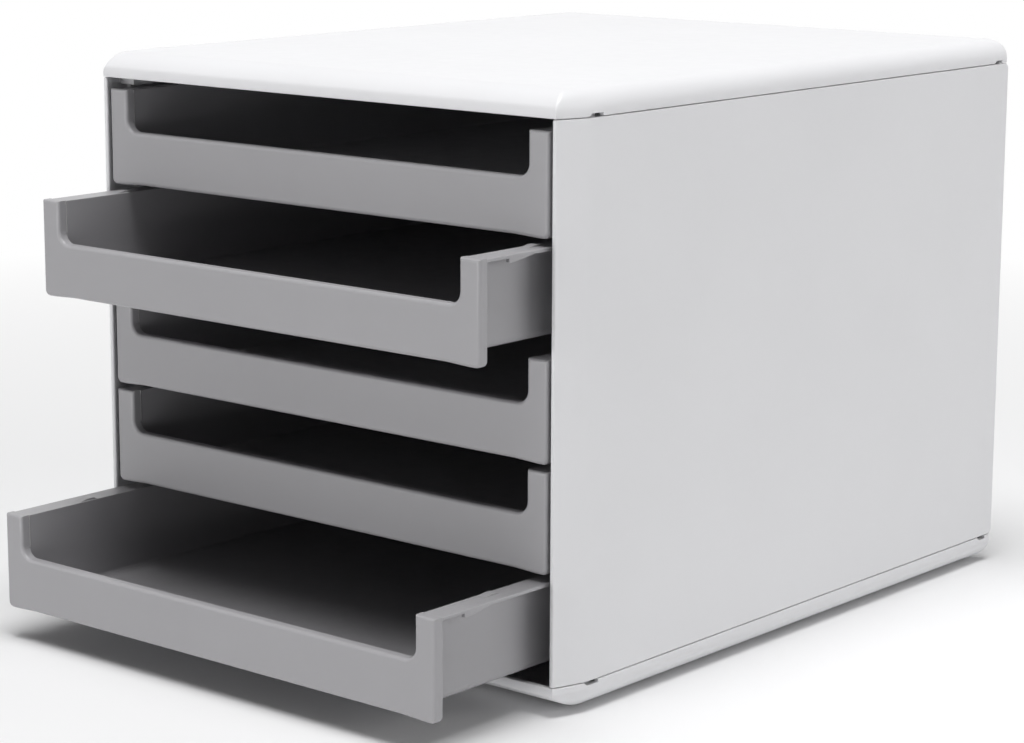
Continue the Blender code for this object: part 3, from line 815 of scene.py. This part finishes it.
def plastic(name, tones, rough, grain):
    """Moulded plastic: fine eroded grain, slow changes of gloss and tone, and rubbed edges."""
    colour, shade, worn = tones
    material = bpy.data.materials.new(name)
    material.use_nodes = True
    nodes, links, add = node_tools(material)
    shader = nodes["Principled BSDF"]
    coords = add("ShaderNodeTexCoord").outputs["Object"]
    stretch = add("ShaderNodeMapping")
    stretch.inputs["Scale"].default_value = (1.0, STREAK_STRETCH, 1.0)
    links.new(coords, stretch.inputs["Vector"])
    slow = noise(add, links, coords, SLOW_SCALE, 3.0)
    cloud = noise(add, links, coords, CLOUD_SCALE, 4.0, 0.6)
    streaks = noise(add, links, stretch.outputs["Vector"], STREAK_SCALE, 3.0, 0.6)
    fine = noise(add, links, coords, GRAIN_SCALE, 2.0, 0.55)
    tone = mix_colour(add, links, spread(add, links, slow, 0.3, 0.7), colour, shade)
    edge = add("ShaderNodeBevel", samples=WORN_SAMPLES)
    edge.inputs["Radius"].default_value = WORN_RADIUS
    geometry = add("ShaderNodeNewGeometry")
    dot = add("ShaderNodeVectorMath", operation="DOT_PRODUCT")
    links.new(edge.outputs["Normal"], dot.inputs[0])
    links.new(geometry.outputs["Normal"], dot.inputs[1])
    sharp = spread(add, links, dot.outputs["Value"], 0.99, 0.86)
    broken = spread(add, links, cloud, 0.35, 0.62)
    wear = math_node(add, links, "MULTIPLY", sharp, broken)
    links.new(mix_colour(add, links, wear, tone, worn), shader.inputs["Base Color"])
    gloss = spread(add, links, cloud, 0.3, 0.7, rough - GLOSS_SPREAD, rough + GLOSS_SPREAD)
    rub = spread(add, links, streaks, 0.55, 0.75, 0.0, STREAK_GLOSS)
    gloss = math_node(add, links, "ADD", gloss, rub)
    gloss = math_node(add, links, "SUBTRACT", gloss, math_node(add, links, "MULTIPLY", wear, WORN_GLOSS))
    links.new(gloss, shader.inputs["Roughness"])
    shader.inputs["IOR"].default_value = PLASTIC_IOR
    grained = raised(add, links, fine, grain, GRAIN_DEPTH)
    links.new(raised(add, links, cloud, BROAD_STRENGTH, BROAD_DEPTH, grained), shader.inputs["Normal"])
    return material


def rubber(name):
    """Dull black rubber with a fine grain and dust in patches."""
    material = bpy.data.materials.new(name)
    material.use_nodes = True
    nodes, links, add = node_tools(material)
    shader = nodes["Principled BSDF"]
    coords = add("ShaderNodeTexCoord").outputs["Object"]
    grain = noise(add, links, coords, RUBBER_GRAIN_SCALE, 3.0, 0.6)
    dust = noise(add, links, coords, RUBBER_DUST_SCALE, 4.0, 0.6)
    tone = mix_colour(add, links, spread(add, links, dust, 0.45, 0.7), *RUBBER_TONES)
    links.new(tone, shader.inputs["Base Color"])
    links.new(spread(add, links, grain, 0.3, 0.7, 0.72, 0.92), shader.inputs["Roughness"])
    links.new(raised(add, links, grain, RUBBER_GRAIN, RUBBER_DEPTH), shader.inputs["Normal"])
    return material


# The casing and the trays

def in_place(made):
    """Moves a piece of the casing to where its solid stands."""
    made.location = (0, -FRAME_MIDDLE, 0)
    return made


def build():
    shell = plastic("casing_plastic", CASING_TONES, CASING_ROUGHNESS, CASING_GRAIN)
    grey = plastic("drawer_plastic", TRAY_TONES, TRAY_ROUGHNESS, TRAY_GRAIN)
    dark = rubber("foot_rubber")
    for made, node in (
        (cover("top_cover_fine", TOP_ARC, UPPER_SEAM, 1), "top_cover"),
        (cover("base_cover_fine", BASE_ARC, LOWER_SEAM, -1), "base_cover"),
        (side_panel("side_panel_right_fine", 1), "side_panel_right"),
        (side_panel("side_panel_left_fine", -1), "side_panel_left"),
        (back_panel("back_panel_fine"), "back_panel"),
    ):
        dress(in_place(made), shell, node, "casing")
    front = FOOT_END_INSET - FRAME_MIDDLE
    rear = CASING_DEPTH - FOOT_END_INSET - FRAME_MIDDLE
    for node, x, y in (
        ("foot_front_left", -FOOT_SIDE, front), ("foot_front_right", FOOT_SIDE, front),
        ("foot_rear_left", -FOOT_SIDE, rear), ("foot_rear_right", FOOT_SIDE, rear),
    ):
        dress(foot(node + "_fine", x, y), dark, node, "casing")
    mesh = tray_mesh()
    for number in range(1, TRAY_COUNT + 1):
        made = link("drawer_%d_fine" % number, mesh.copy())
        made.location = (0, FRONT_SET_BACK - OPENINGS[number] - FRAME_MIDDLE, tray_top(number))
        dress(made, grey, "drawer_%d" % number, "drawer_%d" % number)


# Floor, light and camera

def seen_rays(add, links):
    """One for rays that see the background, straight or reflected, and zero for rays that light."""
    rays = add("ShaderNodeLightPath")
    total = rays.outputs["Is Camera Ray"]
    for kind in ("Is Glossy Ray", "Is Transmission Ray"):
        total = math_node(add, links, "MAXIMUM", total, rays.outputs[kind])
    return total


def make_floor():
    """A pale disc that keeps the object's shadow and turns white further out."""
    shape = bmesh.new()
    bmesh.ops.create_circle(shape, cap_ends=True, segments=FLOOR_SEGMENTS, radius=FLOOR_RADIUS)
    mesh = bpy.data.meshes.new("studio_floor")
    shape.to_mesh(mesh)
    shape.free()
    floor = link("studio_floor", mesh)
    material = bpy.data.materials.new("studio_floor")
    material.use_nodes = True
    nodes, links, add = node_tools(material)
    shader = nodes["Principled BSDF"]
    shader.inputs["Base Color"].default_value = (*FLOOR_TONE, 1)
    shader.inputs["Roughness"].default_value = FLOOR_ROUGHNESS
    shader.inputs["Specular IOR Level"].default_value = FLOOR_GLOSS
    coords = add("ShaderNodeTexCoord").outputs["Object"]
    length = add("ShaderNodeVectorMath", operation="LENGTH")
    links.new(coords, length.inputs[0])
    far = spread(add, links, length.outputs["Value"], FLOOR_OWN_LOOK, FLOOR_ALL_WHITE)
    white = add("ShaderNodeEmission")
    white.inputs["Color"].default_value = (*WHITE, 1)
    mix = add("ShaderNodeMixShader")
    links.new(math_node(add, links, "MULTIPLY", far, seen_rays(add, links)), mix.inputs["Fac"])
    links.new(shader.outputs["BSDF"], mix.inputs[1])
    links.new(white.outputs["Emission"], mix.inputs[2])
    links.new(mix.outputs["Shader"], nodes["Material Output"].inputs["Surface"])
    mesh.materials.append(material)


def make_world():
    """A dim white sky for the light, and plain white for what is seen."""
    world = bpy.data.worlds.new("studio")
    bpy.context.scene.world = world
    world.use_nodes = True
    nodes, links, add = node_tools(world)
    back = nodes["Background"]
    back.inputs["Color"].default_value = (*WHITE, 1)
    back.inputs["Strength"].default_value = WORLD_STRENGTH
    plain = add("ShaderNodeBackground")
    plain.inputs["Color"].default_value = (*WHITE, 1)
    plain.inputs["Strength"].default_value = 1.0
    mix = add("ShaderNodeMixShader")
    links.new(seen_rays(add, links), mix.inputs["Fac"])
    links.new(back.outputs["Background"], mix.inputs[1])
    links.new(plain.outputs["Background"], mix.inputs[2])
    links.new(mix.outputs["Shader"], nodes["World Output"].inputs["Surface"])


def lamp(name, place, aim, wide, high, power):
    """A rectangular soft light that the camera doesn't see."""
    light = bpy.data.lights.new(name, "AREA")
    light.shape = "RECTANGLE"
    light.size = wide
    light.size_y = high
    light.energy = power
    made = link(name, light)
    made.visible_camera = False
    made.location = place
    made.rotation_euler = (Vector(aim) - Vector(place)).to_track_quat("-Z", "Y").to_euler()


def make_camera():
    """The photograph's view: found from the straight edges of the casing and the fronts."""
    data = bpy.data.cameras.new("photo_view")
    data.sensor_width = CAMERA_SENSOR
    data.lens = CAMERA_LENS
    data.shift_x, data.shift_y = CAMERA_SHIFT
    data.clip_start = CAMERA_NEAR
    made = link("photo_view", data)
    level = math.cos(CAMERA_ABOVE)
    back = Vector((
        math.sin(CAMERA_AROUND) * level, -math.cos(CAMERA_AROUND) * level, math.sin(CAMERA_ABOVE),
    ))
    right = Vector((math.cos(CAMERA_AROUND), math.sin(CAMERA_AROUND), 0))
    up = right.cross(-back)
    turned_right = math.cos(CAMERA_ROLL) * right + math.sin(CAMERA_ROLL) * up
    turned_up = math.cos(CAMERA_ROLL) * up - math.sin(CAMERA_ROLL) * right
    turn = Matrix((turned_right, turned_up, back)).transposed().to_4x4()
    made.matrix_world = Matrix.Translation(CAMERA_PLACE) @ turn
    bpy.context.scene.camera = made


make_camera()
make_world()
make_floor()
for settings in LAMPS:
    lamp(*settings)
bpy.context.scene.view_settings.view_transform = "Standard"
build()
